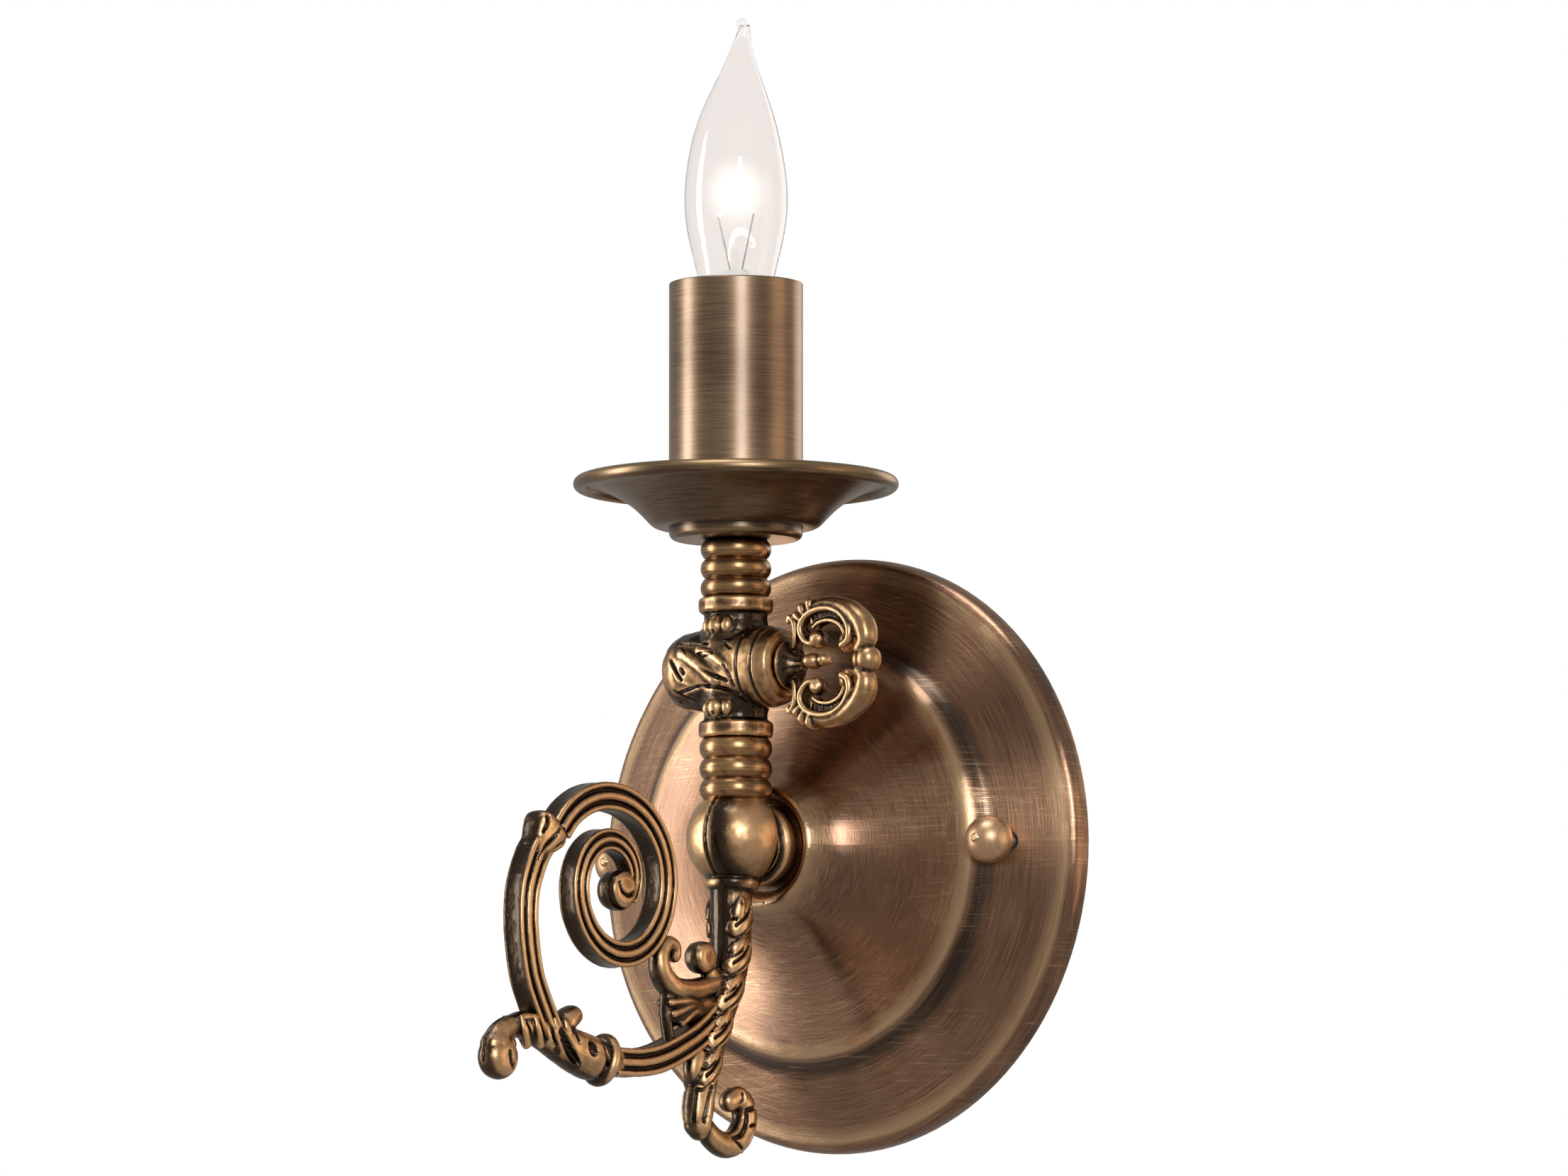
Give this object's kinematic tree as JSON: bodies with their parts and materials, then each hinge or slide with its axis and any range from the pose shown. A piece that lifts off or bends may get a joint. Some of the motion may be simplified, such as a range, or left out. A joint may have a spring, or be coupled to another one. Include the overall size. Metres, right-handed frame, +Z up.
{
  "type": "wall sconce",
  "caption": "Wall sconce with an electric candle on a gas-style bracket: round canopy, turning key, scroll casting, drip pan and lift-off candle cover.",
  "frame": {"origin": "centre of the round wall plate, on the wall plane, between the crossbar's two box slots", "axes": "+Z up, +Y into the wall, +X to the right seen from the front; the candle's column is vertical, 44.5 mm in front of the wall"},
  "size_m": [0.1448, 0.1394, 0.274],
  "materials": {
    "cast_brass": "cast, antiqued: bright high spots, blackened recesses",
    "plate_brass": "spun, antiqued brown, fine circular brushing",
    "knob_brass": "turned, antiqued, smooth",
    "bead_brass": "turned, antiqued, dark in the creases",
    "spun_brass": "spun, brushed round the axis, bright edges",
    "cover_brass": "rolled tube, brushed round the axis",
    "steel": "zinc plated",
    "green_screw": "green, for the ground wire",
    "shell_brass": "thin bright brass",
    "socket_black": "moulded phenolic",
    "card": "pressed fibre sleeve",
    "glass": "clear",
    "stem_glass": "clear, slightly milky",
    "black_glass": "vitreous black insulator",
    "solder": "solder button",
    "filament": "tungsten, lit",
    "lead_white": "insulated wire",
    "lead_black": "insulated wire",
    "connector": "twist-on cap"
  },
  "bodies": {
    "sconce": {"wall_crossbar": "steel", "ground_screw": "green_screw", "canopy": "plate_brass", "hub_nipple": "steel", "hub_washer": "steel", "hub_nut": "steel", "lower_nipple": "steel", "upper_nipple": "steel", "cock_body": "cast_brass", "key_screw": "steel", "seat_ring": "spun_brass", "bobeche": "spun_brass", "bobeche_nut": "steel", "socket_leg": "steel", "socket_body": "socket_black", "socket_shell": "shell_brass", "centre_contact": "shell_brass", "contact_rivet": "shell_brass", "insulating_sleeve": "card", "arm_casting": "cast_brass", "scroll_arm": "cast_brass", "leaf_foot": "cast_brass", "scroll_stalk": "cast_brass", "scroll_spiral": "cast_brass", "scroll_branch": "cast_brass", "lead_left": "lead_white", "lead_right": "lead_black", "wire_connector_left": "connector", "wire_connector_right": "connector", "canopy_stud_left": "steel", "stud_nut_left": "steel", "canopy_stud_right": "steel", "stud_nut_right": "steel", "lower_bead_1": "bead_brass", "upper_bead_1": "bead_brass", "lower_bead_2": "bead_brass", "upper_bead_2": "bead_brass", "lower_bead_3": "bead_brass", "upper_bead_3": "bead_brass"},
    "key": {"gas_key": "cast_brass"},
    "cover": {"candle_cover": "cover_brass"},
    "bulb": {"bulb_glass": "glass", "bulb_base": "shell_brass", "bulb_insulator": "black_glass", "bulb_contact": "solder", "bulb_stem": "stem_glass", "bulb_wires": "steel", "bulb_filament": "filament"},
    "knob_left": {"knob_left": "knob_brass"},
    "knob_right": {"knob_right": "knob_brass"}
  },
  "joints": [
    {"name": "key_turn", "type": "hinge", "parent": "sconce", "child": "key", "pos_m": [0.02, -0.0445, 0.0422], "axis": [1, 0, 0], "range_deg": [0, 90]},
    {"name": "cover_lift", "type": "slide", "parent": "sconce", "child": "cover", "axis": [0, 0, 1], "range_m": [0, 0.125]},
    {"name": "bulb_turn", "type": "hinge", "parent": "sconce", "child": "bulb", "pos_m": [0, -0.0445, 0.1], "axis": [0, 0, 1], "range_deg": [0, 900]},
    {"name": "knob_left_turn", "type": "hinge", "parent": "sconce", "child": "knob_left", "pos_m": [-0.0567, -0.019, 0], "axis": [0, -1, 0], "continuous": true},
    {"name": "knob_right_turn", "type": "hinge", "parent": "sconce", "child": "knob_right", "pos_m": [0.0567, -0.019, 0], "axis": [0, -1, 0], "continuous": true}
  ]
}
